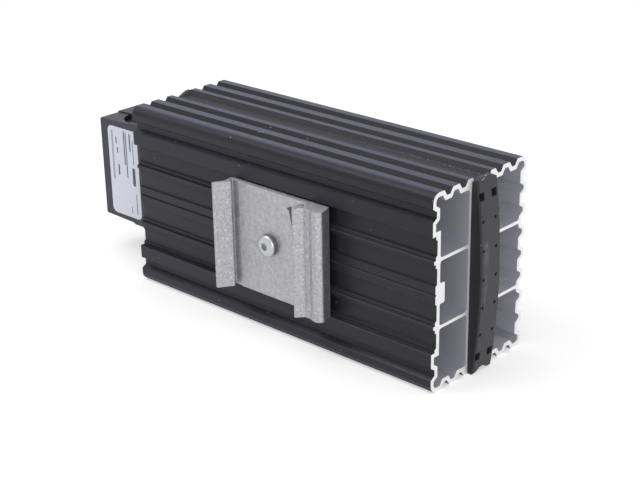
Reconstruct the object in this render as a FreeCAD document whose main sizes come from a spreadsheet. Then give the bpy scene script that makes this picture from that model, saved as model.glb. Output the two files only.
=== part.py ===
import FreeCAD, Part
import math
import os
import Sketcher

# Enclosure heater for a control cabinet, clipped on a 35 mm mounting rail.
# A ribbed aluminium extrusion holds a flat heating element in its middle slot.
# Heater frame: x = 0 where the extrusion meets the terminal box, +x towards the capped end,
# y = 0 on the face that carries the rail clip, z = 0 on the lower ribs, all in millimetres.
# Every piece is then moved so that the row's origin lies under the middle of the whole heater.

doc = FreeCAD.newDocument("enclosure_heater")
sheet = doc.addObject("Spreadsheet::Sheet", "Size")

SIZES = (
    # Extrusion
    ("profile_length", 143.0, "between the two saw cuts"),
    ("profile_depth", 50.0, "from the clip face to the rear face"),
    ("profile_width", 70.0, "between the two ribbed narrow sides"),
    ("wall", 1.5, "outer wall"),
    ("slot_wall", 1.0, "wall between a chamber and the slot"),
    ("partition", 1.15, "wall between two chambers"),
    ("slot_width", 10.8, "slot for the heating element"),
    ("corner_radius", 3.0, "outer corners"),
    ("chamber_radius", 1.2, "chamber corners at the slot walls"),
    ("root_radius", 1.0, "chamber corners where a partition meets an outer wall"),
    ("rib_radius", 0.6, "edges of the screw rib inside the chamber"),
    ("groove_mouth", 4.4, "groove of a narrow side, at its mouth"),
    ("groove_floor", 1.7, "the same groove, at its floor"),
    ("groove_depth", 2.0, "depth of the grooves and of the middle valley"),
    ("rib_top", 3.4, "rib between two grooves"),
    ("valley_rib", 2.4, "rib between the middle valley and the groove beside it"),
    ("valley_mouth", 9.8, "middle valley over the slot, at its mouth"),
    ("valley_floor", 7.6, "middle valley, at its floor"),
    ("rear_land", 4.6, "corner to the first rear recess"),
    ("recess_mouth", 5.0, "rear recess at its mouth"),
    ("recess_floor", 2.4, "rear recess at its floor"),
    ("recess_depth", 2.0, "depth of the rear recesses"),
    ("side_groove_mouth", 4.5, "groove beside the clip channel, at its mouth"),
    ("side_groove_floor", 2.1, "the same groove, at its floor"),
    ("side_groove_depth", 1.9, "depth of that groove"),
    ("channel_slip", 0.45, "gap between the clip and each side of its channel, if centred"),
    ("seat_depth", 0.9, "nibs that carry the clip, below the clip face"),
    ("nib_width", 1.3, "nib on each ridge over a partition"),
    ("ridge_depth", 1.75, "ridges and ledges below the clip face"),
    ("ledge_width", 1.1, "ledge on each side of the channel"),
    ("field_depth", 2.5, "flat fields between the ridges"),
    ("ridge_flank", 0.5, "run of the slope from a ridge to a field"),
    ("ridge_top", 3.7, "ridge over each partition"),
    ("ridge_shift", 0.5, "ridges set from the partitions towards the middle"),
    ("screw_ridge_top", 6.3, "ridge over the screw rib"),
    ("centre_groove", 0.9, "marking groove along the middle of that ridge"),
    ("screw_rib", 7.2, "screw rib inside the chamber"),
    ("screw_rib_depth", 6.5, "how far the screw rib reaches into the chamber"),
    # Rail clip and its screw
    ("clip_width", 40.0, "length cut from the clip extrusion"),
    ("clip_base", 2.4, "base plate of the clip"),
    ("clip_rest", 0.05, "gap between the lower end of the clip and its channel"),
    ("clip_corner", 0.5, "small rounded edges of the clip's section"),
    ("clip_bend", 1.0, "wide rounded edges of the clip's section"),
    ("lip_corner", 0.2, "edges of the two lips and corners of the undercuts"),
    ("rail_setback", 70.95, "middle of the rail to the capped end of the extrusion"),
    ("rail_width", 35.0, "mounting rail, edge to edge"),
    ("rail_thickness", 1.0, "mounting rail, sheet thickness"),
    ("rail_slip", 0.3, "play of the rail edge below a lip"),
    ("lip_overlap", 1.6, "how much narrower the gap between the lips is than the rail"),
    ("lip_edge", 1.5, "upright edge of the springy lip"),
    ("fixed_hook_depth", 1.1, "undercut behind the fixed lip"),
    ("fixed_hook_reach", 8.5, "tip of the fixed hook before the clip face"),
    ("fixed_lip_edge", 0.5, "upright edge of the fixed lip"),
    ("fixed_lean", 3.4, "run of the slope from the fixed lip to the tip"),
    ("fixed_tip", 1.3, "flat tip of the fixed hook"),
    ("fixed_waist", 2.6, "fixed lip to the waist of the hook"),
    ("fixed_leg", 3.1, "fixed lip to the outer foot of the hook"),
    ("relief_depth", 0.4, "relief in the base plate at the fixed undercut"),
    ("relief_run", 1.9, "fixed lip to the end of that relief"),
    ("spring_hook_depth", 1.3, "undercut behind the springy lip"),
    ("spring_hook_reach", 8.3, "tip of the springy hook before the clip face"),
    ("spring_lip_run", 1.5, "underside of the springy lip"),
    ("slit_run", 2.7, "run of the slit that frees the springy arm"),
    ("nose_lean", 0.6, "springy lip to the flat tip of its nose"),
    ("nose_tip", 1.1, "flat tip of the nose"),
    ("arm_start", 3.7, "springy lip to the foot of its nose"),
    ("spring_arm_reach", 5.75, "front of the springy arm before the clip face"),
    ("spring_arm", 1.45, "thickness of the springy arm"),
    ("grip_rise", 0.75, "grip bead at the end of the arm, before the arm"),
    ("grip_width", 1.9, "flat top of the grip bead"),
    ("grip_run", 1.8, "run of the slope from the arm to the grip bead"),
    ("end_bevel", 1.5, "bevel of the springy end, at the grip bead"),
    ("seat_bevel", 1.9, "bevel of the springy end, at the base plate"),
    ("spring_side_length", 11.6, "springy lip to the end of the clip"),
    ("nose_radius", 0.8, "rounded tip of that nose"),
    ("hook_wear", 1.3, "worn lower corner of the fixed hook"),
    ("hook_wear_depth", 2.5, "that corner, behind the tip of the hook"),
    ("clip_hole_radius", 2.25, "clearance hole for the screw"),
    ("screw_radius", 2.0, "screw shank"),
    ("screw_length", 8.0, "screw shank below the head"),
    ("screw_point", 1.0, "tapered end of the shank"),
    ("point_radius", 1.4, "end of the point"),
    ("screw_slip", 0.05, "gap around the shank in the screw rib"),
    ("head_radius", 4.0, "pan head"),
    ("head_height", 2.8, "pan head"),
    ("head_flat", 1.9, "flat middle of the pan head"),
    ("dome_radius", 3.3, "outer edge of the dome"),
    ("dome_drop", 0.5, "outer edge of the dome below the flat"),
    ("head_shoulder", 1.2, "rounded shoulder of the head, below the flat"),
    ("drive_radius", 1.25, "middle of the six-lobed drive recess"),
    ("lobe_radius", 0.42, "each lobe of the drive recess"),
    ("drive_depth", 1.3, "drive recess"),
    # Cap over the slot
    ("cap_slip", 0.1, "gap between the cap and each slot wall"),
    ("cap_stand", 4.25, "crown of the cap before the saw cut"),
    ("cap_radius", 240.0, "curve of the cap's face"),
    ("cap_margin", 0.2, "cap ends to the narrow sides of the extrusion"),
    ("cap_notch_width", 3.4, "notch in the lower end of the cap"),
    ("cap_notch_depth", 1.4, "notch in the lower end of the cap"),
    ("cap_notch_radius", 0.5, "corners of that notch"),
    ("cap_corner", 1.3, "cut corners at the upper end of the cap, along z"),
    ("cap_corner_run", 2.6, "the same corners, across the cap"),
    ("plug_length", 8.0, "how far the cap reaches into the slot"),
    ("plug_wall", 1.4, "wall of the hollow plug"),
    ("vent_width", 2.7, "square hole in the cap"),
    ("vent_height", 2.8, "square hole in the cap"),
    ("vent_inset", 6.45, "narrow side of the extrusion to the middle of a square hole"),
    ("cap_column", 6.6, "distance between the two columns of holes"),
    ("dimple_radius", 0.65, "dimple in the cap"),
    ("dimple_depth", 1.6, "floor of the dimples below the crown of the cap"),
    ("dimple_spacing", 10.1, "one dimple to the next"),
    # Terminal box
    ("box_reach", 37.0, "terminal box before the extrusion"),
    ("box_depth", 22.6, "both shells together"),
    ("cover_depth", 9.6, "front shell"),
    ("box_end_height", 40.7, "outer end of the box"),
    ("box_root_height", 41.6, "box where its collar begins"),
    ("collar_height", 42.6, "first step of the collar"),
    ("flange_height", 44.0, "second step of the collar, against the extrusion"),
    ("collar_reach", 19.6, "first step of the collar before the extrusion"),
    ("flange_reach", 13.6, "second step of the collar before the extrusion"),
    ("collar_run", 0.7, "run of the slope into each step"),
    ("box_corner", 0.8, "upright edges of the box"),
    ("front_rounding", 0.6, "edges of the cover's front face"),
    ("box_wall", 1.6, "walls of both shells"),
    ("parting_offset", 0.5, "how far the rear shell stands over the cover"),
    ("shell_slip", 0.15, "gap between the rear shell's skirt and the cover"),
    ("skirt", 1.2, "skirt of the rear shell inside the cover"),
    ("skirt_reach", 30.5, "skirt before the extrusion"),
    ("thumb_radius", 9.6, "round recess on the edges of the cover"),
    ("thumb_reach", 20.5, "middle of the round recess before the extrusion"),
    ("thumb_shift", 1.7, "middle of the round recess behind the parting line"),
    ("end_wall", 2.0, "wall of the rear shell against the extrusion"),
    ("neck_slip", 0.3, "gap between the neck and each slot wall"),
    ("neck_length", 12.0, "how far the neck reaches into the slot"),
    ("neck_height", 36.0, "height of the neck"),
    ("neck_wall", 1.5, "wall of the neck"),
    ("label_width", 17.6, "label along x"),
    ("label_height", 36.8, "label along z"),
    ("label_reach", 14.7, "label before the extrusion"),
    ("label_thickness", 0.15, "label"),
    ("label_radius", 2.4, "corners of the label"),
    # Push-in terminals in the box
    ("cell_spacing", 9.2, "one terminal to the next"),
    ("cell_rib", 1.0, "rib between two terminals"),
    ("cell_reach", 16.0, "inner end of the ribs before the extrusion"),
    ("cell_depth", 9.8, "height of the ribs above the floor"),
    ("bar_thickness", 1.0, "current bar"),
    ("bar_width", 6.0, "current bar"),
    ("bar_rise", 10.5, "upturned end of the current bar above the floor"),
    ("bar_gap", 1.4, "current bar to the outer wall"),
    ("bar_setback", 1.0, "upturned end of the current bar inside the end of the ribs"),
    ("spring_thickness", 0.4, "leaf spring"),
    ("spring_width", 5.0, "leaf spring"),
    ("spring_bend", 1.2, "middle radius of the bend of the leaf spring"),
    ("spring_run", 15.2, "back leg of the leaf spring"),
    ("leaf_run", 10.2, "clamping leaf of the leaf spring along x"),
    ("leaf_gap", 0.2, "tip of the clamping leaf to the current bar"),
    ("entry_radius", 1.9, "wire entry"),
    ("release_width", 3.6, "screwdriver slot over a wire entry"),
    ("release_height", 1.6, "screwdriver slot over a wire entry"),
    ("release_rise", 8.2, "screwdriver slot above the floor"),
    # Heating element in the slot
    ("element_start", 13.0, "element behind the saw cut at the terminal box"),
    ("element_gap", 1.0, "element to the plug of the cap"),
    ("bar_slip", 0.5, "gap between the pressure bars and each end of the slot"),
    ("stone_thickness", 2.2, "heating stone"),
    ("stone_margin", 5.0, "each end of the element to the nearest stone"),
    ("stone_gap", 5.0, "one heating stone to the next"),
    ("stone_height", 32.0, "heating stone along z"),
    ("stone_slip", 0.2, "gap around a stone in its frame"),
    ("electrode_thickness", 0.5, "electrode"),
    ("electrode_height", 40.0, "electrode along z"),
    ("sleeve_thickness", 0.2, "insulating sleeve"),
    ("sleeve_slip", 0.2, "gap between the sleeve and the electrode edges"),
    ("tab_width", 6.3, "tabs of the electrodes and of the rear bar"),
    ("tab_thickness", 1.0, "earth tab of the rear bar"),
    ("tab_reach", 8.0, "tabs before the saw cut"),
    ("tab_spread", 9.0, "middle of the heater to each electrode tab"),
    ("lead_radius", 0.9, "insulated leads"),
    ("lead_bend", 1.6, "bends of the leads"),
    ("lead_run", 1.4, "straight ends of the leads"),
    ("lead_seat", 5.7, "leads above the floor of the box at the current bars"),
)

for row, (alias, value, meaning) in enumerate(SIZES, start=1):
    sheet.set("A%d" % row, meaning)
    sheet.set("B%d" % row, str(value))
    sheet.setAlias("B%d" % row, alias)
doc.recompute()


def mm(alias):
    """One driving dimension, read from the sheet."""
    return float(sheet.get(alias))


ORIGIN_X = "-(Size.profile_length + Size.cap_stand - Size.box_reach) / 2"
ORIGIN_Y = "-(Size.profile_depth - Size.fixed_hook_reach) / 2"
RAIL_X = "Size.profile_length - Size.rail_setback"
CLIP_Z = "(Size.profile_width / 2 - Size.channel_slip + Size.clip_rest)"
UNDER_HEAD = "Size.seat_depth - Size.clip_base"
MID_Y = "Size.profile_depth / 2"
MID_Z = "Size.profile_width / 2"
PARTING = "(Size.profile_depth - Size.box_depth) / 2 + Size.cover_depth"
BOX_FLOOR = "(Size.profile_depth + Size.box_depth) / 2 - Size.box_wall"
RECESS_COUNT = 8
CELL_COUNT = 4
STONE_COUNT = 4
DIMPLE_COUNT = 5
LOBE_COUNT = 6

mid_y = mm("profile_depth") / 2
mid_z = mm("profile_width") / 2
pieces = []


# Building blocks

def place(piece, label, shift_x="0", shift_z="0"):
    """Name a sub-part and move it from the heater frame to the frame of the row."""
    piece.Label = label
    piece.setExpression(".Placement.Base.x", ORIGIN_X + " + " + shift_x)
    piece.setExpression(".Placement.Base.y", ORIGIN_Y)
    piece.setExpression(".Placement.Base.z", shift_z)
    pieces.append(piece)
    return piece


def new_body(label, shift_x="0", shift_z="0"):
    return place(doc.addObject("PartDesign::Body", label), label, shift_x, shift_z)


NORMAL = {"XY_Plane": 1, "XZ_Plane": -1, "YZ_Plane": 1}


def new_sketch(body, role, level="0"):
    """A sketch on one of the body's own planes, moved to a level along that plane's axis."""
    sketch = body.newObject("Sketcher::SketchObject", "Sketch")
    plane = [item for item in body.Origin.OriginFeatures if item.Role == role][0]
    sketch.AttachmentSupport = [(plane, "")]
    sketch.MapMode = "FlatFace"
    sign = "" if NORMAL[role] > 0 else "-"
    sketch.setExpression(".AttachmentOffset.Base.z", "%s(%s)" % (sign, level))
    return sketch


def draw_outline(sketch, corners):
    """A closed outline through corners (u, v, radius), straight runs joined by tangent arcs."""
    runs = []
    count = len(corners)
    for index, (u, v, radius) in enumerate(corners):
        here = FreeCAD.Vector(u, v, 0)
        back = FreeCAD.Vector(*corners[index - 1][:2], 0) - here
        ahead = FreeCAD.Vector(*corners[(index + 1) % count][:2], 0) - here
        back.normalize()
        ahead.normalize()
        half = back.getAngle(ahead) / 2
        if radius == 0 or abs(half - math.pi / 2) < 1e-6:
            runs.append((here, here, here))
            continue
        cut = radius / math.tan(half)
        centre = here + (back + ahead).normalize() * (radius / math.sin(half))
        middle = centre + (here - centre).normalize() * radius
        runs.append((here + back * cut, middle, here + ahead * cut))
    for index, (start, middle, end) in enumerate(runs):
        if start.distanceToPoint(end) > 1e-6:
            sketch.addGeometry(Part.Arc(start, middle, end))
        following = runs[(index + 1) % count][0]
        if end.distanceToPoint(following) > 1e-6:
            sketch.addGeometry(Part.LineSegment(end, following))


def bind(sketch, kind, items, name, formula):
    number = sketch.addConstraint(Sketcher.Constraint(kind, *items, 1.0))
    sketch.renameConstraint(number, name)
    sketch.setExpression(".Constraints." + name, formula)


def draw_rectangle(sketch, left, right, low, high):
    """A rectangle whose four sides are bound to formulas of the sheet."""
    first = sketch.GeometryCount
    corners = [FreeCAD.Vector(u, v, 0) for u, v in ((0, 0), (1, 0), (1, 1), (0, 1))]
    for index in range(4):
        sketch.addGeometry(Part.LineSegment(corners[index], corners[(index + 1) % 4]))
    for index in range(4):
        joint = (first + index, 2, first + (index + 1) % 4, 1)
        sketch.addConstraint(Sketcher.Constraint("Coincident", *joint))
        kind = "Horizontal" if index % 2 == 0 else "Vertical"
        sketch.addConstraint(Sketcher.Constraint(kind, first + index))
    tag = "_%d" % first
    bind(sketch, "DistanceX", (-1, 1, first, 1), "left" + tag, left)
    bind(sketch, "DistanceY", (-1, 1, first, 1), "low" + tag, low)
    bind(sketch, "DistanceX", (-1, 1, first + 2, 1), "right" + tag, right)
    bind(sketch, "DistanceY", (-1, 1, first + 2, 1), "high" + tag, high)


def draw_circle(sketch, u, v, radius):
    """A circle whose centre and radius are bound to formulas of the sheet."""
    number = sketch.addGeometry(Part.Circle(FreeCAD.Vector(0.5, 0.5, 0), FreeCAD.Vector(0, 0, 1), 1))
    tag = "_%d" % number
    bind(sketch, "Radius", (number,), "radius" + tag, radius)
    bind(sketch, "DistanceX", (-1, 1, number, 3), "across" + tag, u)
    bind(sketch, "DistanceY", (-1, 1, number, 3), "up" + tag, v)


def role_of(sketch):
    return sketch.AttachmentSupport[0][0].Role


def pad(body, sketch, length, towards=1, symmetric=False):
    """Material from the sketch, towards the plus (1) or minus (-1) side of its axis."""
    feature = body.newObject("PartDesign::Pad", "Pad")
    feature.Profile = sketch
    if symmetric:
        feature.SideType = "Symmetric"
    feature.Reversed = towards != NORMAL[role_of(sketch)]
    feature.setExpression("Length", length)
    body.Tip = feature
    doc.recompute()
    return feature


def pocket(body, sketch, length, towards):
    """A cut from the sketch, towards the plus (1) or minus (-1) side of its axis."""
    before = body.Shape.Volume
    feature = body.newObject("PartDesign::Pocket", "Pocket")
    feature.Profile = sketch
    feature.Reversed = towards == NORMAL[role_of(sketch)]
    feature.setExpression("Length", length)
    body.Tip = feature
    doc.recompute()
    if not body.Shape.Volume < before - 1e-6:
        raise ValueError("a pocket in %s cuts nothing" % body.Label)
    return feature


def repeat(body, features, axis, spacing, count):
    """Copies of features along an axis of the body, a spacing apart."""
    pattern = body.newObject("PartDesign::LinearPattern", "Pattern")
    pattern.Originals = features
    line = [item for item in body.Origin.OriginFeatures if item.Role == axis][0]
    pattern.Direction = (line, [""])
    pattern.setExpression("Length", "(%s) * %d" % (spacing, count - 1))
    pattern.Occurrences = count
    body.Tip = pattern
    doc.recompute()
    return pattern


def mitre(before, here, after, offset):
    """The corner of a line drawn beside a path, offset to the left of it."""
    ahead = (after - here).normalize()
    behind = (here - before).normalize()
    left_ahead = FreeCAD.Vector(-ahead.y, ahead.x, 0)
    left_behind = FreeCAD.Vector(-behind.y, behind.x, 0)
    middle = (left_ahead + left_behind).normalize()
    return here + middle * (offset / middle.dot(left_ahead))


def bent_strip(path, thickness, radius):
    """Corners of a strip of sheet that follows a path of points (u, v), bent at a middle radius."""
    points = [FreeCAD.Vector(u, v, 0) for u, v in path]
    first = points[0] * 2 - points[1]
    last = points[-1] * 2 - points[-2]
    chain = [first] + points + [last]
    sides = {}
    for offset in (thickness / 2, -thickness / 2):
        side = []
        for index in range(1, len(chain) - 1):
            corner = mitre(chain[index - 1], chain[index], chain[index + 1], offset)
            turn = (chain[index] - chain[index - 1]).cross(chain[index + 1] - chain[index]).z
            bend = 0 if abs(turn) < 1e-9 else radius - offset * math.copysign(1, turn)
            side.append((corner.x, corner.y, bend))
        sides[offset] = side
    return sides[thickness / 2] + sides[-thickness / 2][::-1]


# Outline of the extrusion. Walls are lists of (along, depth below the face).

def groove(start, mouth, floor, depth, inset=0.0):
    """Four corners of a trapezoid groove, or of the line that follows it at an inset."""
    slope = (mouth - floor) / 2
    shift = inset * math.tan(math.atan2(depth, slope) / 2)
    return [
        (start - shift, inset),
        (start + slope - shift, depth + inset),
        (start + slope + floor + shift, depth + inset),
        (start + mouth + shift, inset),
    ]


def narrow_side_grooves(inset):
    """The two grooves between a corner and the middle valley."""
    second = mid_y - mm("valley_mouth") / 2 - mm("valley_rib") - mm("groove_mouth")
    first = second - mm("rib_top") - mm("groove_mouth")
    shape = (mm("groove_mouth"), mm("groove_floor"), mm("groove_depth"), inset)
    return groove(first, *shape) + groove(second, *shape)


recess_spacing = (mm("profile_width") - 2 * mm("rear_land") - mm("recess_mouth")) / (RECESS_COUNT - 1)
partition_offset = (RECESS_COUNT / 2 - 1) / 2 * recess_spacing
channel_low = mid_z - mm("clip_width") / 2 - mm("channel_slip")


def rear_recesses(inset):
    points = []
    for number in range(RECESS_COUNT):
        start = mm("rear_land") + number * recess_spacing
        points += groove(start, mm("recess_mouth"), mm("recess_floor"), mm("recess_depth"), inset)
    return points


def side_groove(inset):
    """The groove midway between a corner and the clip channel."""
    start = (channel_low - mm("side_groove_mouth")) / 2
    return groove(start, mm("side_groove_mouth"), mm("side_groove_floor"),
                  mm("side_groove_depth"), inset)


def ridge(centre, top, middle):
    """A ridge that stands up between two fields, with a form of its own in the middle."""
    half = top / 2
    run = half + mm("ridge_flank")
    level = mm("ridge_depth")
    field = mm("field_depth")
    rise = [(centre - run, field), (centre - half, level)]
    return rise + middle + [(centre + half, level), (centre + run, field)]


def clip_face():
    """The face that carries the clip, from z = 0 up to the width of the extrusion."""
    ledge_end = channel_low + mm("ledge_width")
    level = mm("ridge_depth")
    centre = mid_z - partition_offset + mm("ridge_shift")
    nib = mm("nib_width") / 2
    lower = side_groove(0.0)
    lower += [(channel_low, 0), (channel_low, level), (ledge_end, level)]
    lower += [(ledge_end + mm("ridge_flank"), mm("field_depth"))]
    lower += ridge(centre, mm("ridge_top"), [
        (centre - nib, level), (centre - nib, mm("seat_depth")),
        (centre + nib, mm("seat_depth")), (centre + nib, level),
    ])
    mark = mm("centre_groove") / 2
    screw_ridge = ridge(mid_z, mm("screw_ridge_top"), [
        (mid_z - mark, level), (mid_z, level + mark), (mid_z + mark, level),
    ])
    upper = [(2 * mid_z - along, depth) for along, depth in reversed(lower)]
    return lower + screw_ridge + upper


def profile_outline():
    """Corners (y, z, radius) of the outside, from the lower front corner and round by the rear."""
    depth = mm("profile_depth")
    width = mm("profile_width")
    radius = mm("corner_radius")
    half = narrow_side_grooves(0.0)
    valley = groove(mid_y - mm("valley_mouth") / 2, mm("valley_mouth"), mm("valley_floor"),
                    mm("groove_depth"))
    other_half = [(depth - along, sunk) for along, sunk in reversed(half)]
    narrow = half + valley + other_half
    corners = [(0, 0, radius)]
    corners += [(along, sunk, 0) for along, sunk in narrow]
    corners += [(depth, 0, radius)]
    corners += [(depth - sunk, along, 0) for along, sunk in rear_recesses(0.0)]
    corners += [(depth, width, radius)]
    corners += [(along, width - sunk, 0) for along, sunk in reversed(narrow)]
    corners += [(0, width, radius)]
    corners += [(sunk, along, 0) for along, sunk in reversed(clip_face())]
    return corners


def mirrored_up(corners):
    return [(u, 2 * mid_z - v, radius) for u, v, radius in reversed(corners)]


def chamber_outlines():
    """The six air chambers, each a wall inside the outline and clear of the slot walls."""
    wall = mm("wall")
    depth = mm("profile_depth")
    fillet = mm("chamber_radius")
    root = mm("root_radius")
    edge = mm("rib_radius")
    roof = mm("groove_depth") + wall
    front_slot = mid_y - mm("slot_width") / 2 - mm("slot_wall")
    rear_slot = depth - front_slot
    low = mid_z - partition_offset - mm("partition") / 2
    high = mid_z - partition_offset + mm("partition") / 2
    field = mm("field_depth") + wall
    narrow = narrow_side_grooves(wall)[:-1]
    room = min(narrow[0][0], side_groove(wall)[0][0], rear_recesses(wall)[0][0]) - wall
    corner = min(max(mm("corner_radius") - wall, 0), room)

    front_low = [(wall, wall, corner)]
    front_low += [(along, sunk, 0) for along, sunk in narrow]
    front_low += [(front_slot, roof, fillet), (front_slot, low, fillet), (field, low, root)]
    front_low += [(field, channel_low - wall, 0), (wall, channel_low - wall, 0)]
    front_low += [(sunk, along, 0) for along, sunk in reversed(side_groove(wall))]

    rib = mm("screw_rib_depth")
    half_rib = mm("screw_rib") / 2
    front_mid = [(field, high, root), (front_slot, high, fillet)]
    front_mid += [(front_slot, 2 * mid_z - high, fillet), (field, 2 * mid_z - high, root)]
    front_mid += [(field, mid_z + half_rib, edge), (rib, mid_z + half_rib, edge)]
    front_mid += [(rib, mid_z - half_rib, edge), (field, mid_z - half_rib, edge)]

    inner = [(depth - sunk, along, 0) for along, sunk in rear_recesses(wall)]
    floor = depth - mm("recess_depth") - wall
    rear_low = [(rear_slot, low, fillet), (rear_slot, roof, fillet)]
    rear_low += [(depth - along, sunk, 0) for along, sunk in reversed(narrow)]
    rear_low += [(depth - wall, wall, corner)]
    rear_low += [point for point in inner if point[1] < low]
    rear_low += [(floor, low, root)]

    rear_mid = [(rear_slot, 2 * mid_z - high, fillet), (rear_slot, high, fillet), (floor, high, root)]
    rear_mid += [point for point in inner if high < point[1] < 2 * mid_z - high]
    rear_mid += [(floor, 2 * mid_z - high, root)]

    lows_and_mids = [front_low, front_mid, rear_low, rear_mid]
    return lows_and_mids + [mirrored_up(front_low), mirrored_up(rear_low)]


def make_heatsink_profile():
    """The extrusion: one outline with six chambers and the slot, sawn to length."""
    body = new_body("heatsink_profile")
    section = new_sketch(body, "YZ_Plane")
    draw_outline(section, profile_outline())
    for chamber in chamber_outlines():
        draw_outline(section, chamber)
    roof = "Size.groove_depth + Size.wall"
    draw_rectangle(section, MID_Y + " - Size.slot_width / 2", MID_Y + " + Size.slot_width / 2",
                   roof, "Size.profile_width - (" + roof + ")")
    pad(body, section, "Size.profile_length")
    hole = new_sketch(body, "XZ_Plane")
    draw_circle(hole, RAIL_X, CLIP_Z, "Size.screw_radius + Size.screw_slip")
    pocket(body, hole, "Size.screw_rib_depth", 1)


# Rail clip. Its frame has x = 0 in the middle of the rail.

def clip_outline():
    """Corners (x, y, radius) of the clip's section, from the fixed hook's foot and round."""
    half_gap = (mm("rail_width") - mm("lip_overlap")) / 2
    small = mm("clip_corner")
    wide = mm("clip_bend")
    sharp = mm("lip_corner")
    seat = mm("seat_depth")
    front = seat - mm("clip_base")
    lip = front - mm("rail_thickness") - mm("rail_slip")
    tip = -mm("fixed_hook_reach")
    nose = -mm("spring_hook_reach")
    arm = -mm("spring_arm_reach")
    under_arm = arm + mm("spring_arm")
    grip = arm - mm("grip_rise")
    end = half_gap + mm("spring_side_length")
    bevel = end - mm("end_bevel")
    lip_end = half_gap + mm("spring_lip_run")
    nose_start = half_gap + mm("nose_lean")
    slit = half_gap + mm("spring_hook_depth")
    root = -half_gap - mm("fixed_hook_depth")
    relief = front + mm("relief_depth")
    relief_end = -half_gap + mm("relief_run")
    lean = -half_gap - mm("fixed_lean")
    springy_end = [
        (end - mm("seat_bevel"), seat, wide), (end, grip + mm("end_bevel"), wide), (bevel, grip, wide),
        (bevel - mm("grip_width"), grip, wide),
        (bevel - mm("grip_width") - mm("grip_run"), arm, wide),
    ]
    springy_nose = [
        (half_gap + mm("arm_start"), arm, small), (nose_start + mm("nose_tip"), nose, small),
        (nose_start, nose, mm("nose_radius")), (half_gap, lip - mm("lip_edge"), small), (half_gap, lip, sharp),
    ]
    springy_slit = [
        (lip_end, lip, sharp), (lip_end, under_arm, sharp),
        (slit + mm("slit_run"), under_arm, sharp), (slit, front, sharp),
    ]
    fixed_undercut = [
        (relief_end, front, 0), (relief_end - mm("relief_depth"), relief, 0),
        (root, relief, sharp), (root, lip, sharp), (-half_gap, lip, sharp),
    ]
    fixed_hook = [
        (-half_gap, lip - mm("fixed_lip_edge"), sharp), (lean, tip, small),
        (lean - mm("fixed_tip"), tip, small),
        (-half_gap - mm("fixed_waist"), lip - mm("lip_edge"), wide),
        (-half_gap - mm("fixed_leg"), seat, small),
    ]
    return springy_end + springy_nose + springy_slit + fixed_undercut + fixed_hook


def make_rail_clip():
    """The clip: one extruded section cut to width, with a hole for its screw and a worn corner."""
    body = new_body("rail_clip", RAIL_X, CLIP_Z)
    section = new_sketch(body, "XY_Plane")
    draw_outline(section, clip_outline())
    pad(body, section, "Size.clip_width", symmetric=True)
    hole = new_sketch(body, "XZ_Plane", UNDER_HEAD)
    draw_circle(hole, "0", "0", "Size.clip_hole_radius")
    pocket(body, hole, "Size.clip_base", 1)
    wear = mm("hook_wear")
    outer = mm("lip_overlap") / 2 - mm("rail_width") / 2 - mm("fixed_lean") - mm("fixed_tip")
    low = -mm("clip_width") / 2
    corner = new_sketch(body, "XZ_Plane", "-Size.fixed_hook_reach")
    draw_outline(corner, [
        (outer - wear, low - wear, 0), (outer + 2 * wear, low - wear, 0), (outer + 2 * wear, low, 0),
        (outer, low, wear), (outer, low + 2 * wear, 0), (outer - wear, low + 2 * wear, 0),
    ])
    pocket(body, corner, "Size.hook_wear_depth", 1)


def make_clip_screw():
    """The pan head screw: a turned blank with a six-lobed drive recess."""
    body = new_body("clip_screw", RAIL_X, CLIP_Z)
    under_head = mm("seat_depth") - mm("clip_base")
    top = under_head - mm("head_height")
    head = mm("head_radius")
    shank = mm("screw_radius")
    tip = under_head + mm("screw_length")
    blank = new_sketch(body, "XY_Plane")
    draw_outline(blank, [
        (0, top, 0), (mm("head_flat"), top, 0), (mm("dome_radius"), top + mm("dome_drop"), 0),
        (head, top + mm("head_shoulder"), 0), (head, under_head, 0), (shank, under_head, 0),
        (shank, tip - mm("screw_point"), 0), (mm("point_radius"), tip, 0), (0, tip, 0),
    ])
    turned = body.newObject("PartDesign::Revolution", "Turned")
    turned.Profile = blank
    turned.ReferenceAxis = (blank, ["V_Axis"])
    turned.Angle = 360
    body.Tip = turned
    doc.recompute()
    middle = new_sketch(body, "XZ_Plane", UNDER_HEAD + " - Size.head_height")
    draw_circle(middle, "0", "0", "Size.drive_radius")
    pocket(body, middle, "Size.drive_depth", 1)
    lobe = new_sketch(body, "XZ_Plane", UNDER_HEAD + " - Size.head_height")
    draw_circle(lobe, "Size.drive_radius", "0", "Size.lobe_radius")
    first = pocket(body, lobe, "Size.drive_depth", 1)
    lobes = body.newObject("PartDesign::PolarPattern", "Lobes")
    lobes.Originals = [first]
    axis = [item for item in body.Origin.OriginFeatures if item.Role == "Y_Axis"][0]
    lobes.Axis = (axis, [""])
    lobes.Angle = 360
    lobes.Occurrences = LOBE_COUNT
    body.Tip = lobes
    doc.recompute()


# Cap over the slot

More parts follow.
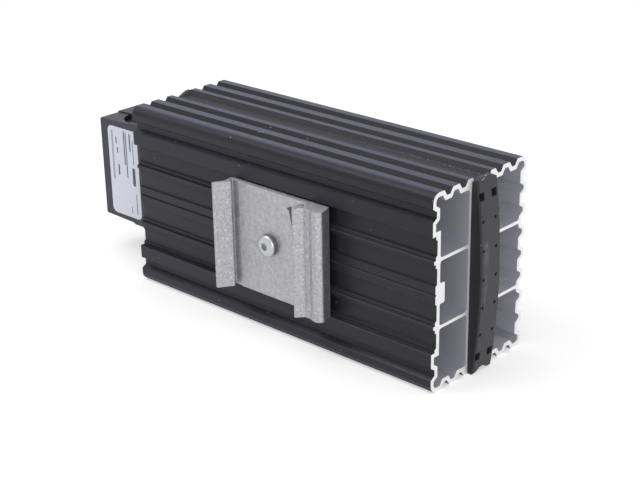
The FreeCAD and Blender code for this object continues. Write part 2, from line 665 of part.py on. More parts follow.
def make_end_cap():
    """The moulded cap: a crowned strip on the saw cut, with a hollow plug in the slot."""
    body = new_body("end_cap")
    face = mm("profile_length")
    low = mm("cap_margin")
    high = mm("profile_width") - mm("cap_margin")
    crown = new_sketch(body, "XZ_Plane", MID_Y)
    radius = mm("cap_radius")
    centre = face + mm("cap_stand") - radius
    end_level = centre + math.sqrt(radius ** 2 - (high - mid_z) ** 2)
    lower = FreeCAD.Vector(end_level, low, 0)
    middle = FreeCAD.Vector(centre + radius, mid_z, 0)
    upper = FreeCAD.Vector(end_level, high, 0)
    crown.addGeometry(Part.Arc(lower, middle, upper))
    crown.addGeometry(Part.LineSegment(upper, FreeCAD.Vector(face, high, 0)))
    crown.addGeometry(Part.LineSegment(FreeCAD.Vector(face, high, 0), FreeCAD.Vector(face, low, 0)))
    crown.addGeometry(Part.LineSegment(FreeCAD.Vector(face, low, 0), lower))
    pad(body, crown, "Size.slot_width - 2 * Size.cap_slip", symmetric=True)

    half = mm("slot_width") / 2 - mm("cap_slip")
    notch = mm("cap_notch_width") / 2
    rise = mm("cap_notch_depth")
    fillet = mm("cap_notch_radius")
    corner = mm("cap_corner")
    run = mm("cap_corner_run")
    trims = (
        [(mid_y - notch - rise, low, 0), (mid_y - notch / 2, low + rise, fillet),
         (mid_y + notch / 2, low + rise, fillet), (mid_y + notch + rise, low, 0),
         (mid_y, low - rise, 0)],
        [(mid_y - half, high - corner, 0), (mid_y - half + run, high, 0),
         (mid_y - half - corner, high + corner, 0)],
        [(mid_y + half, high - corner, 0), (mid_y + half - run, high, 0),
         (mid_y + half + corner, high + corner, 0)],
    )
    for corners in trims:
        trim = new_sketch(body, "YZ_Plane", "Size.profile_length")
        draw_outline(trim, corners)
        pocket(body, trim, "Size.cap_stand", 1)

    inner_half = "(Size.slot_width / 2 - Size.cap_slip)"
    roof = "(Size.groove_depth + Size.wall + Size.cap_slip)"
    plug = new_sketch(body, "YZ_Plane", "Size.profile_length")
    draw_rectangle(plug, MID_Y + " - " + inner_half, MID_Y + " + " + inner_half,
                   roof, "Size.profile_width - " + roof)
    pad(body, plug, "Size.plug_length", -1)
    hollow = new_sketch(body, "YZ_Plane", "Size.profile_length - Size.plug_length")
    draw_rectangle(hollow, MID_Y + " - " + inner_half + " + Size.plug_wall",
                   MID_Y + " + " + inner_half + " - Size.plug_wall",
                   roof + " + Size.plug_wall", "Size.profile_width - " + roof + " - Size.plug_wall")
    pocket(body, hollow, "Size.plug_length", 1)

    vents = new_sketch(body, "YZ_Plane", "Size.profile_length")
    for across in ("-", "+"):
        for up in ("-", "+"):
            centre_y = "%s %s Size.cap_column / 2" % (MID_Y, across)
            centre_z = "%s %s (%s - Size.vent_inset)" % (MID_Z, up, MID_Z)
            draw_rectangle(vents, centre_y + " - Size.vent_width / 2", centre_y + " + Size.vent_width / 2",
                           centre_z + " - Size.vent_height / 2", centre_z + " + Size.vent_height / 2")
    pocket(body, vents, "Size.cap_stand", 1)
    dimples = new_sketch(body, "YZ_Plane", "Size.profile_length + Size.cap_stand - Size.dimple_depth")
    lowest = "%s - Size.dimple_spacing * %s" % (MID_Z, (DIMPLE_COUNT - 1) / 2)
    for across in ("-", "+"):
        draw_circle(dimples, "%s %s Size.cap_column / 2" % (MID_Y, across), lowest, "Size.dimple_radius")
    row = pocket(body, dimples, "Size.dimple_depth", 1)
    repeat(body, [row], "Z_Axis", "Size.dimple_spacing", DIMPLE_COUNT)


# Terminal box. Both shells share one outline; the rear one stands a little proud.

def box_outline(grow):
    """Corners (x, z, radius) of a shell seen from the front."""
    reach = mm("box_reach")
    slope = mm("collar_run")
    collar = mm("collar_reach")
    flange = mm("flange_reach")
    upper = [
        (-reach, mid_z + mm("box_end_height") / 2 + grow, mm("box_corner")),
        (-collar - slope, mid_z + mm("box_root_height") / 2 + grow, 0),
        (-collar, mid_z + mm("collar_height") / 2 + grow, 0),
        (-flange - slope, mid_z + mm("collar_height") / 2 + grow, 0),
        (-flange, mid_z + mm("flange_height") / 2 + grow, 0),
        (0, mid_z + mm("flange_height") / 2 + grow, 0),
    ]
    return upper + mirrored_up(upper)


CAVITY_LOW = MID_Z + " - Size.box_end_height / 2 + Size.box_wall"
CAVITY_HIGH = MID_Z + " + Size.box_end_height / 2 - Size.box_wall"


def make_terminal_box_cover():
    """The front shell: a tray with a round recess on its upper and its lower edge."""
    body = new_body("terminal_box_cover")
    shell = new_sketch(body, "XZ_Plane", PARTING)
    draw_outline(shell, box_outline(0.0))
    tray = pad(body, shell, "Size.cover_depth", -1)
    edges = front_edges(tray)
    rounding = body.newObject("PartDesign::Fillet", "Rounding")
    rounding.Base = (tray, edges)
    rounding.setExpression("Radius", "Size.front_rounding")
    body.Tip = rounding
    doc.recompute()
    cavity = new_sketch(body, "XZ_Plane", PARTING)
    draw_rectangle(cavity, "-Size.box_reach + Size.box_wall", "0", CAVITY_LOW, CAVITY_HIGH)
    pocket(body, cavity, "Size.cover_depth - Size.box_wall", -1)
    thumb = new_sketch(body, "XY_Plane")
    draw_circle(thumb, "-Size.thumb_reach", PARTING + " + Size.thumb_shift", "Size.thumb_radius")
    pocket(body, thumb, "Size.profile_width", 1)


def front_edges(tray):
    """The edges along the outer end and the long sides of the cover's front face."""
    front = mid_y - mm("box_depth") / 2
    edges = []
    for number, edge in enumerate(tray.Shape.Edges, start=1):
        box = edge.BoundBox
        on_front = abs(box.YMin - front) < 1e-4 and abs(box.YMax - front) < 1e-4
        if on_front and box.XMin < -mm("collar_reach") and box.XMax < -mm("flange_reach"):
            edges.append("Edge%d" % number)
    return edges


def make_terminal_box_body():
    """The rear shell: four terminal cells, wire entries and the neck that plugs into the slot."""
    body = new_body("terminal_box_body")
    shell = new_sketch(body, "XZ_Plane", PARTING)
    draw_outline(shell, box_outline(mm("parting_offset")))
    pad(body, shell, "Size.box_depth - Size.cover_depth", 1)
    cavity = new_sketch(body, "XZ_Plane", PARTING)
    draw_rectangle(cavity, "-Size.box_reach + Size.box_wall", "-Size.end_wall", CAVITY_LOW, CAVITY_HIGH)
    pocket(body, cavity, "Size.box_depth - Size.cover_depth - Size.box_wall", 1)

    skirt = new_sketch(body, "XZ_Plane", PARTING)
    outer = mm("box_end_height") / 2 - mm("box_wall") - mm("shell_slip")
    inner = outer - mm("skirt")
    reach = mm("skirt_reach")
    wall = mm("end_wall")
    draw_outline(skirt, [
        (-reach, mid_z - outer, 0), (0, mid_z - outer, 0), (0, mid_z + outer, 0),
        (-reach, mid_z + outer, 0), (-reach, mid_z + inner, 0), (-wall, mid_z + inner, 0),
        (-wall, mid_z - inner, 0), (-reach, mid_z - inner, 0),
    ])
    pad(body, skirt, "Size.cover_depth - Size.box_wall - Size.shell_slip", -1)

    neck_half = "(Size.slot_width / 2 - Size.neck_slip)"
    neck = new_sketch(body, "YZ_Plane")
    draw_rectangle(neck, MID_Y + " - " + neck_half, MID_Y + " + " + neck_half,
                   MID_Z + " - Size.neck_height / 2", MID_Z + " + Size.neck_height / 2")
    pad(body, neck, "Size.neck_length")
    passage = new_sketch(body, "YZ_Plane", "Size.neck_length")
    draw_rectangle(passage, MID_Y + " - " + neck_half + " + Size.neck_wall",
                   MID_Y + " + " + neck_half + " - Size.neck_wall",
                   MID_Z + " - Size.neck_height / 2 + Size.neck_wall",
                   MID_Z + " + Size.neck_height / 2 - Size.neck_wall")
    pocket(body, passage, "Size.neck_length + Size.end_wall", -1)

    rib = new_sketch(body, "XZ_Plane", BOX_FLOOR)
    draw_rectangle(rib, "-Size.box_reach + Size.box_wall", "-Size.cell_reach",
                   MID_Z + " - Size.cell_spacing - Size.cell_rib / 2",
                   MID_Z + " - Size.cell_spacing + Size.cell_rib / 2")
    first_rib = pad(body, rib, "Size.cell_depth", -1)
    repeat(body, [first_rib], "Z_Axis", "Size.cell_spacing", CELL_COUNT - 1)

    lowest_cell = "%s - Size.cell_spacing * %s" % (MID_Z, (CELL_COUNT - 1) / 2)
    entry = new_sketch(body, "YZ_Plane", "-Size.box_reach")
    draw_circle(entry, BOX_FLOOR + " - Size.bar_thickness - Size.entry_radius", lowest_cell,
                "Size.entry_radius")
    entry_cut = pocket(body, entry, "Size.box_wall", 1)
    repeat(body, [entry_cut], "Z_Axis", "Size.cell_spacing", CELL_COUNT)
    release = new_sketch(body, "YZ_Plane", "-Size.box_reach")
    centre = BOX_FLOOR + " - Size.release_rise"
    draw_rectangle(release, centre + " - Size.release_height / 2", centre + " + Size.release_height / 2",
                   lowest_cell + " - Size.release_width / 2", lowest_cell + " + Size.release_width / 2")
    release_cut = pocket(body, release, "Size.box_wall", 1)
    repeat(body, [release_cut], "Z_Axis", "Size.cell_spacing", CELL_COUNT)


def make_type_label():
    """The adhesive label, blank, with rounded corners."""
    body = new_body("type_label")
    front = "(Size.profile_depth - Size.box_depth) / 2"
    sketch = new_sketch(body, "XZ_Plane", front)
    left = -mm("label_reach") - mm("label_width")
    right = -mm("label_reach")
    low = mid_z - mm("label_height") / 2
    high = mid_z + mm("label_height") / 2
    radius = mm("label_radius")
    draw_outline(sketch, [(left, low, radius), (right, low, radius), (right, high, radius),
                          (left, high, radius)])
    pad(body, sketch, "Size.label_thickness", -1)


# Push-in terminals

box_floor = mid_y + mm("box_depth") / 2 - mm("box_wall")
bar_middle = box_floor - mm("bar_thickness") / 2
bar_end = -mm("box_reach") + mm("box_wall") + mm("bar_gap")
bar_turn = -mm("cell_reach") - mm("bar_setback") - mm("bar_thickness") / 2


def cell_level(number):
    return "%s + Size.cell_spacing * %s" % (MID_Z, number - (CELL_COUNT - 1) / 2)


def make_terminal(number):
    """One terminal: a current bar with an upturned end, and a leaf spring hooked behind it."""
    bar = new_body("contact_bar_%d" % (number + 1))
    section = new_sketch(bar, "XY_Plane", cell_level(number))
    top = box_floor - mm("bar_rise")
    path = [(bar_end, bar_middle), (bar_turn, bar_middle), (bar_turn, top)]
    draw_outline(section, bent_strip(path, mm("bar_thickness"), mm("bar_thickness")))
    pad(bar, section, "Size.bar_width", symmetric=True)

    spring = new_body("clamp_spring_%d" % (number + 1))
    section = new_sketch(spring, "XY_Plane", cell_level(number))
    start = bar_turn - mm("bar_thickness") / 2
    leg = top + mm("spring_thickness")
    bend = start - mm("spring_run")
    tip = box_floor - mm("bar_thickness") - mm("leaf_gap") - mm("spring_thickness") / 2
    path = [(start, leg), (bend, leg), (bend + mm("leaf_run"), tip)]
    draw_outline(section, bent_strip(path, mm("spring_thickness"), mm("spring_bend")))
    pad(spring, section, "Size.spring_width", symmetric=True)


# Heating element, layer by layer across the slot

ELEMENT_END = "(Size.profile_length - Size.plug_length - Size.element_gap)"
STONE_ROOM = "(" + ELEMENT_END + " - Size.element_start - 2 * Size.stone_margin + Size.stone_gap)"
STONE_SPACING = "(" + STONE_ROOM + " / %d)" % STONE_COUNT
STONE_LENGTH = "(" + STONE_SPACING + " - Size.stone_gap)"
STONE_HALF = "Size.stone_thickness / 2"
ELECTRODE_HALF = "(" + STONE_HALF + " + Size.electrode_thickness)"
SLEEVE_HALF = "(" + ELECTRODE_HALF + " + Size.sleeve_thickness)"
SLEEVE_REACH = "(Size.electrode_height / 2 + Size.sleeve_slip)"
BAR_HEIGHT = "Size.profile_width - 2 * (Size.groove_depth + Size.wall + Size.bar_slip)"


def draw_plate(body, low_y, high_y, height, start="Size.element_start", end=ELEMENT_END, centre=MID_Z):
    """A flat plate between two levels of y, drawn from the side and padded through."""
    sketch = new_sketch(body, "XZ_Plane", low_y)
    draw_rectangle(sketch, start, end, "%s - (%s) / 2" % (centre, height), "%s + (%s) / 2" % (centre, height))
    pad(body, sketch, "(%s) - (%s)" % (high_y, low_y), 1)


def make_pressure_bars():
    """Two bars that fill the slot on both sides of the element; the rear one has the earth tab."""
    front = new_body("pressure_bar_front")
    draw_plate(front, MID_Y + " - Size.slot_width / 2", MID_Y + " - " + SLEEVE_HALF, BAR_HEIGHT)
    rear = new_body("pressure_bar_rear")
    low = MID_Y + " + " + SLEEVE_HALF
    draw_plate(rear, low, MID_Y + " + Size.slot_width / 2", BAR_HEIGHT)
    draw_plate(rear, low, low + " + Size.tab_thickness", "Size.tab_width",
               "-Size.tab_reach", "Size.element_start")


def make_electrodes():
    """Two contact plates, one on each face of the stones, each with a tab to the terminal box."""
    for label, side, up in (("electrode_front", "-", "+"), ("electrode_rear", "+", "-")):
        body = new_body(label)
        near = "%s %s %s" % (MID_Y, side, STONE_HALF)
        far = "%s %s %s" % (MID_Y, side, ELECTRODE_HALF)
        low, high = (far, near) if side == "-" else (near, far)
        draw_plate(body, low, high, "Size.electrode_height")
        draw_plate(body, low, high, "Size.tab_width", "-Size.tab_reach", "Size.element_start",
                   "%s %s Size.tab_spread" % (MID_Z, up))


def make_insulating_sleeve():
    """The film sleeve round the electrodes, open at both ends."""
    body = new_body("insulating_sleeve")
    sketch = new_sketch(body, "YZ_Plane", "Size.element_start")
    draw_rectangle(sketch, MID_Y + " - " + SLEEVE_HALF, MID_Y + " + " + SLEEVE_HALF,
                   MID_Z + " - " + SLEEVE_REACH + " - Size.sleeve_thickness",
                   MID_Z + " + " + SLEEVE_REACH + " + Size.sleeve_thickness")
    draw_rectangle(sketch, MID_Y + " - " + ELECTRODE_HALF, MID_Y + " + " + ELECTRODE_HALF,
                   MID_Z + " - " + SLEEVE_REACH, MID_Z + " + " + SLEEVE_REACH)
    pad(body, sketch, ELEMENT_END + " - Size.element_start")


def stone_start(number):
    return "Size.element_start + Size.stone_margin + %s * %d" % (STONE_SPACING, number)


def make_stone_frame():
    """The thin frame whose windows keep the stones apart."""
    body = new_body("stone_frame")
    draw_plate(body, MID_Y + " - " + STONE_HALF, MID_Y + " + " + STONE_HALF, "Size.electrode_height")
    window = new_sketch(body, "XZ_Plane", MID_Y + " - " + STONE_HALF)
    draw_rectangle(window, stone_start(0) + " - Size.stone_slip",
                   stone_start(0) + " + " + STONE_LENGTH + " + Size.stone_slip",
                   MID_Z + " - Size.stone_height / 2 - Size.stone_slip",
                   MID_Z + " + Size.stone_height / 2 + Size.stone_slip")
    first = pocket(body, window, "Size.stone_thickness", 1)
    repeat(body, [first], "X_Axis", STONE_SPACING, STONE_COUNT)


def make_ptc_stone(number):
    """One flat ceramic stone in its window."""
    body = new_body("ptc_stone_%d" % (number + 1))
    start = stone_start(number)
    draw_plate(body, MID_Y + " - " + STONE_HALF, MID_Y + " + " + STONE_HALF, "Size.stone_height",
               start, start + " + " + STONE_LENGTH)


# Leads between the tabs and the current bars

def bent_wire(points, radius, bend):
    """A round lead along straight runs joined by tangent arcs."""
    edges = []
    start = points[0]
    for before, here, after in zip(points, points[1:], points[2:]):
        back = (before - here).normalize()
        ahead = (after - here).normalize()
        half = back.getAngle(ahead) / 2
        cut = bend / math.tan(half)
        centre = here + (back + ahead).normalize() * (bend / math.sin(half))
        middle = centre + (here - centre).normalize() * bend
        arc_start = here + back * cut
        arc_end = here + ahead * cut
        edges.append(Part.LineSegment(start, arc_start).toShape())
        edges.append(Part.Arc(arc_start, middle, arc_end).toShape())
        start = arc_end
    edges.append(Part.LineSegment(start, points[-1]).toShape())
    ring = Part.Wire(Part.makeCircle(radius, points[0], points[1] - points[0]))
    return Part.Wire(edges).makePipeShell([ring], True, False)


def make_lead(label, tab_y, tab_z, cell):
    """One insulated lead, from the end of a tab to the upturned end of a current bar."""
    run = mm("lead_run")
    tab = FreeCAD.Vector(-mm("tab_reach"), tab_y, tab_z)
    level = mid_z + mm("cell_spacing") * (cell - (CELL_COUNT - 1) / 2)
    bar_face = bar_turn + mm("bar_thickness") / 2
    seat = FreeCAD.Vector(bar_face, box_floor - mm("lead_seat"), level)
    step = FreeCAD.Vector(run, 0, 0)
    lead = doc.addObject("Part::Feature", label)
    lead.Shape = bent_wire([tab, tab - step, seat + step, seat], mm("lead_radius"), mm("lead_bend"))
    place(lead, label)


def make_leads():
    electrode = (mm("stone_thickness") + mm("electrode_thickness")) / 2
    earth = mm("stone_thickness") / 2 + mm("electrode_thickness") + mm("sleeve_thickness")
    earth += mm("tab_thickness") / 2
    spread = mm("tab_spread")
    make_lead("line_lead", mid_y - electrode, mid_z + spread, CELL_COUNT - 1)
    make_lead("neutral_lead", mid_y + electrode, mid_z - spread, 0)
    make_lead("earth_lead", mid_y + earth, mid_z, 1)


make_heatsink_profile()
make_end_cap()
make_rail_clip()
make_clip_screw()
make_terminal_box_body()
make_terminal_box_cover()
make_type_label()
make_pressure_bars()
make_insulating_sleeve()
make_electrodes()
make_stone_frame()
for index in range(STONE_COUNT):
    make_ptc_stone(index)
for index in range(CELL_COUNT):
    make_terminal(index)
make_leads()
doc.recompute()

for item in doc.Objects:
    if "Invalid" in item.State or "Error" in item.State:
        raise ValueError("%s failed: %s" % (item.Label, item.State))
for piece in pieces:
    if piece.Shape.isNull() or not piece.Shape.isValid():
        raise ValueError("%s has no valid shape" % piece.Label)

os.makedirs("parts", exist_ok=True)
for piece in pieces:
    piece.Shape.exportStep("parts/%s.step" % piece.Label)
    box = piece.Shape.BoundBox
    print("%-22s %8.2f cm3  x %7.2f..%7.2f  y %7.2f..%7.2f  z %7.2f..%7.2f" % (
        piece.Label, piece.Shape.Volume / 1000, box.XMin, box.XMax, box.YMin, box.YMax,
        box.ZMin, box.ZMax))
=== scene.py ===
import math

import bpy
from mathutils import Matrix, Vector


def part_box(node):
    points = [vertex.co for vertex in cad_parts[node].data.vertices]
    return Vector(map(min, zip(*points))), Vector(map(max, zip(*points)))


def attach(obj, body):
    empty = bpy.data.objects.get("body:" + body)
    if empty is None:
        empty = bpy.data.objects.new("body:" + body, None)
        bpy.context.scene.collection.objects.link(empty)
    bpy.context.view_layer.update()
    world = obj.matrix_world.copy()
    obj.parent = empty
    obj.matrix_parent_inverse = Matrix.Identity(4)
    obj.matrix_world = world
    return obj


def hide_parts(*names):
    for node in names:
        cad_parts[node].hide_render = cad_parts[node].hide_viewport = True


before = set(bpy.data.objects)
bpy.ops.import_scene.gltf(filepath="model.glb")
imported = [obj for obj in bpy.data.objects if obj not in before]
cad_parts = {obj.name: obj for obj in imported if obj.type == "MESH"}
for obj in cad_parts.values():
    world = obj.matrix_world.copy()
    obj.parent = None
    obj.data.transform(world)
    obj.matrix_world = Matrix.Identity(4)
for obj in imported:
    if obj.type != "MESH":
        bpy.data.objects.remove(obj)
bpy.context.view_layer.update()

# The photograph looks at the heater through a long lens, from the capped end and the side of
# the rail clip, and a little from above.

camera_lens = 81.0
camera_place = (0.3461, -0.34915, 0.2276)
camera_azimuth = math.radians(43.03)
camera_elevation = math.radians(22.45)
camera_roll = math.radians(-1.0)

bpy.ops.object.select_all(action="DESELECT")
bpy.ops.object.camera_add(location=camera_place)
camera = bpy.context.object
camera.name = "camera"
camera.data.lens = camera_lens
flat_share = math.cos(camera_elevation)
ahead = Vector((
    -math.sin(camera_azimuth) * flat_share,
    math.cos(camera_azimuth) * flat_share,
    -math.sin(camera_elevation),
))
turn = ahead.to_track_quat("-Z", "Y") @ Matrix.Rotation(camera_roll, 3, "Z").to_quaternion()
camera.rotation_euler = turn.to_euler()
bpy.context.scene.camera = camera


# The extrusion: a length of aluminium profile with two boxes of air chambers and a flat slot.
# Its outside is anodised black with a violet sheen. Its front edges and ledges carry pale lines of
# painted highlight, brighter towards the capped end, and a darker copy of the skin without the
# sheen paints shade on its flanks, undercuts and valley. The chambers are bare, and so is the
# section, because both ends were sawn afterwards. The rear chambers are a lighter grey than the
# front ones, as painted light.

MM = 0.001


class Shade:
    """One output of a material's nodes. Arithmetic on it adds Math nodes."""

    def __init__(self, tree, socket=None):
        self.tree = tree
        self.socket = socket

    def node(self, kind, settings, sockets, output=0):
        """Any other node: its type, its settings, then the values or links of its sockets."""
        node = self.tree.nodes.new("ShaderNode" + kind)
        for name, value in settings.items():
            setattr(node, name, value)
        for name, value in sockets.items():
            if isinstance(value, Shade):
                self.tree.links.new(value.socket, node.inputs[name])
            else:
                node.inputs[name].default_value = value
        return Shade(self.tree, node.outputs[output] if len(node.outputs) else None)

    def math(self, operation, *values):
        return self.node("Math", {"operation": operation}, dict(enumerate(values)))

    def __add__(self, other):
        return self.math("ADD", self, other)

    __radd__ = __add__

    def __sub__(self, other):
        return self.math("SUBTRACT", self, other)

    def __rsub__(self, other):
        return self.math("SUBTRACT", other, self)

    def __mul__(self, other):
        return self.math("MULTIPLY", self, other)

    __rmul__ = __mul__

    def __mod__(self, other):
        return self.math("FLOORED_MODULO", self, other)

    def __or__(self, other):
        return self.math("MAXIMUM", self, other)

    def __and__(self, other):
        return self.math("MINIMUM", self, other)

    def above(self, limit):
        return self.math("GREATER_THAN", self, limit)

    def below(self, limit):
        return self.math("LESS_THAN", self, limit)

    def between(self, low, high):
        return self.above(low) * self.below(high)

    def within(self, bands):
        """1 inside any of these bands, each with a low and a high limit."""
        inside = self.between(*bands[0])
        for band in bands[1:]:
            inside = inside | self.between(*band)
        return inside

    def fade(self, low, high):
        """From 0 at low to 1 at high, level outside."""
        return self.node("MapRange", {}, {"Value": self, "From Min": low, "From Max": high})

    def tint(self, first, second):
        """The first colour where this is 0, the second where it is 1."""
        return self.node("Mix", {"data_type": "RGBA"}, {0: self, 6: first, 7: second}, 2)

    def axis(self, name):
        return self.node("SeparateXYZ", {}, {0: self}, name)

    def grain(self, lengths, detail=2.0, rough=0.5):
        """Noise from 0 to 1 whose grains have these lengths along x, y and z."""
        scale = [1 / length for length in lengths]
        scaled = self.node("Mapping", {}, {"Vector": self, "Scale": scale})
        sockets = {"Vector": scaled, "Scale": 1.0, "Detail": detail, "Roughness": rough}
        return self.node("TexNoise", {}, sockets)

    def specks(self, spacing, radius):
        """Small dots, 1 inside, where a random point of a grid comes near the surface."""
        distance = self.node("TexVoronoi", {}, {"Vector": self, "Scale": 1 / spacing}, "Distance")
        return 1 - distance.fade(radius / spacing * 0.6, radius / spacing)

    def stroke(self, start, end, width, tip, soft=0.15):
        """1 on a straight mark between two places, this wide at its start and at its tip."""
        run = Vector(end) - Vector(start)
        offset = self.node("VectorMath", {"operation": "SUBTRACT"}, {0: self, 1: start})
        reach = {0: offset, 1: run / run.length_squared}
        along = self.node("VectorMath", {"operation": "DOT_PRODUCT"}, reach, "Value").fade(0.0, 1.0)
        nearest = self.node("VectorMath", {"operation": "SCALE"}, {0: run, "Scale": along})
        away = self.node("VectorMath", {"operation": "DISTANCE"}, {0: offset, 1: nearest}, "Value")
        return (along * ((tip - width) / 2) + width / 2 - away).fade(0.0, soft)


profile_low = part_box("heatsink_profile")[0]


def start_finish(name):
    """An empty material, and places on it in mm: x from the terminal box, y from the clip, z up."""
    material = bpy.data.materials.new(name)
    material.use_nodes = True
    material.node_tree.nodes.clear()
    place = Shade(material.node_tree).node("TexCoord", {}, {}, "Object")
    corner = [-value / MM for value in profile_low]
    sockets = {"Vector": place, "Location": corner, "Scale": [1 / MM] * 3}
    return material, place.node("Mapping", {}, sockets)


def surface(place, sockets, relief, depth, rounding=0.0):
    """A shader with its own values, its relief and the rounding of its edges in mm."""
    height = {"Height": relief, "Distance": depth * MM}
    if rounding:
        height["Normal"] = place.node("Bevel", {"samples": 6}, {"Radius": rounding * MM})
    sockets["Normal"] = place.node("Bump", {}, height)
    return place.node("BsdfPrincipled", {}, sockets)


def close_finish(place, *settings):
    """A material of one shader."""
    place.node("OutputMaterial", {}, {"Surface": surface(place, *settings)})


def cover(material, *names):
    """Give CAD nodes this finish."""
    for name in names:
        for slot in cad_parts[name].material_slots:
            slot.material = material


profile_length = 143.0
profile_depth = 50.0
profile_height = 70.0
chamber_wall = 1.45
groove_floor = 2.05
front_box = 18.65
side_grooves = ((5.45, 9.95), (13.25, 17.75))
clip_channel = 13.8
channel_floor = 3.2
front_groove = (4.95, 9.6)
recess_start = 4.6
recess_spacing = 7.971
recess_mouth = 5.05
saw_skin = 0.01
# Painted highlight: pale lines along these bands of the front, this deep, fading in along this run.
highlight_edges = ((4.85, 5.2), (14.25, 14.7), (23.9, 24.4), (34.5, 35.0), (46.8, 47.3))
lit_ledges = ((5.2, 6.4), (14.7, 16.2), (24.4, 25.4), (47.3, 48.3))
highlight_depth = 3.2
highlight_run = (55, 110)
# The valley between the top ribs, which takes the painted shade of the skin, in a lighter grey.
valley_across = (21.2, 29.8)
valley_up = (67.9, 69.9)
crumbs_across = (28.45, 28.95)
crumbs_up = (67.8, 68.4)
crumbs_run = (40, 150)
# Painted shade: bands of down-facing flanks and undercuts, and the bottom corner, which take a
# darker copy of the skin without its sheen.
flank_bands = ((0.05, 0.85), (0.95, 1.7), (1.8, 2.45))
flank_up = (14, 56)
undercut_bands = ((8.32, 9.52), (63.82, 65.02))
undercut_across = (0.01, 1.89)
foot_height = 1.6
foot_depth = 2.2
nick_ends = ((57.0, 9.9, 69.7), (58.7, 10.6, 70.0))

# Four of these colours paint light or shade: a darker black and a lighter valley grey for the
# sheen-less copy of the skin that stands as painted shade, a pale grey for painted highlights, and
# a lighter grey in the rear chambers as painted light.
anodised_dark = (0.0035, 0.0033, 0.0041, 1)
anodised_worn = (0.0075, 0.0071, 0.0089, 1)
shaded_black = (0.018, 0.0172, 0.02, 1)
highlight_grey = (0.04, 0.038, 0.043, 1)
anodised_sheen = (0.46, 0.47, 1.0, 1)
valley_grey = (0.062, 0.061, 0.069, 1)
bare_front = (0.53, 0.535, 0.585, 1)
bare_rear_lit = (0.59, 0.59, 0.65, 1)
saw_bright = (0.86, 0.86, 0.88, 1)
dust_white = (0.5, 0.5, 0.5, 1)
scuff_grey = (0.2, 0.2, 0.22, 1)


def inside_chambers(place):
    """1 on the inner walls of the six chambers, from their places in the section."""
    across = place.axis("Y")
    up = place.axis("Z")
    from_face = across & (profile_depth - across)
    from_side = up & (profile_height - up)
    narrow = from_side.below(groove_floor) * (1 - from_face.within(side_grooves))
    side_clear = from_side.above(groove_floor) | narrow * from_side.above(chamber_wall)
    front_limit = chamber_wall + from_side.above(clip_channel) * (channel_floor - chamber_wall)
    front_limit = front_limit + from_side.between(*front_groove) * (groove_floor - chamber_wall)
    front = across.above(front_limit) * across.below(profile_depth / 2)
    recess = ((up - recess_start) % recess_spacing).below(recess_mouth)
    rear_limit = chamber_wall + recess * (groove_floor - chamber_wall)
    rear = (profile_depth - across).above(rear_limit) * across.above(profile_depth / 2)
    return (front | rear) * side_clear * from_face.below(front_box)


anodised, place = start_finish("black_anodised")
along, across, up = place.axis("X"), place.axis("Y"), place.axis("Z")
die_lines = place.grain((60, 0.35, 0.35), 3.0)
cloud = place.grain((18, 9, 9), 3.0)
pores = place.grain((0.5, 0.4, 0.4), 1.0)
saw_marks = place.grain((5, 7, 0.12), 2.0)
cut = along.above(profile_length - saw_skin) | along.below(saw_skin)
inside = inside_chambers(place)
outside = (1 - inside) * (1 - cut)
dust = place.specks(4.2, 0.24) * cloud.fade(0.43, 0.58) * outside
dust = dust | place.stroke(*nick_ends, 0.6, 0.5, 0.2) * outside
# Painted shade: the valley, the flanks and the undercuts take a darker copy of the skin without its
# sheen.
valley = across.between(*valley_across) * up.between(*valley_up) * outside
undercuts = up.within(undercut_bands) * across.between(*undercut_across)
undercuts = undercuts | up.below(foot_height) * across.below(foot_depth)
flanks = (across.within(flank_bands) * up.between(*flank_up) | undercuts) * outside
# Painted highlight: pale lines on the front's edges and ledges, growing towards the capped end.
painted_highlight = up.within(highlight_edges) | up.within(lit_ledges) * 0.45
painted_highlight = painted_highlight * across.below(highlight_depth) * along.fade(*highlight_run) * outside
crumbs = place.grain((0.62, 0.22, 0.22), 1.0).fade(0.5, 0.6) * across.between(*crumbs_across)
crumbs = crumbs * up.between(*crumbs_up) * along.fade(*crumbs_run) * outside
colour = (die_lines * 0.5 + cloud * 0.5).tint(anodised_dark, anodised_worn)
colour = painted_highlight.tint(colour, highlight_grey)
shaded_skin_colour = painted_highlight.tint(valley.tint(shaded_black, valley_grey), highlight_grey)
colour = crumbs.tint(colour, scuff_grey)
colour = dust.tint(colour, dust_white)
shaded_skin_colour = (dust | crumbs).tint(shaded_skin_colour, scuff_grey)
relief = die_lines * 0.5 + pores * 0.3 + dust * 1.5 + crumbs
black_skin = surface(place, {
    "Base Color": colour,
    "Roughness": 0.35 + cloud * 0.08 + (dust | crumbs) * 0.3,
    "IOR": 1.5,
    "Specular IOR Level": 0.29,
    "Sheen Weight": 0.42,
    "Sheen Roughness": 0.4,
    "Sheen Tint": anodised_sheen,
}, relief, 0.012)
# The darker copy of the skin, without sheen and with little gloss: painted shade.
shaded_skin = surface(place, {
    "Base Color": shaded_skin_colour,
    "Roughness": 0.62 + cloud * 0.16,
    "IOR": 1.5,
    "Specular IOR Level": 0.15,
}, relief, 0.012)
# Bare metal. The rear chambers are a lighter grey than the front ones, as painted light.
bare_metal = surface(place, {
    "Base Color": cut.tint(across.above(profile_depth / 2).tint(bare_front, bare_rear_lit), saw_bright),
    "Roughness": 0.5 + cut * (saw_marks * 0.16 - 0.08),
    "Metallic": 0.55,
}, saw_marks * cut + pores * 0.2, 0.012)
# Painted shade: the darker copy of the skin goes on the valley and the flanks.
skins = place.node("MixShader", {}, {0: valley * 0.85 | flanks, 1: black_skin, 2: shaded_skin})
skins = place.node("MixShader", {}, {0: cut | inside, 1: skins, 2: bare_metal})
place.node("OutputMaterial", {}, {"Surface": skins})
cover(anodised, "heatsink_profile")


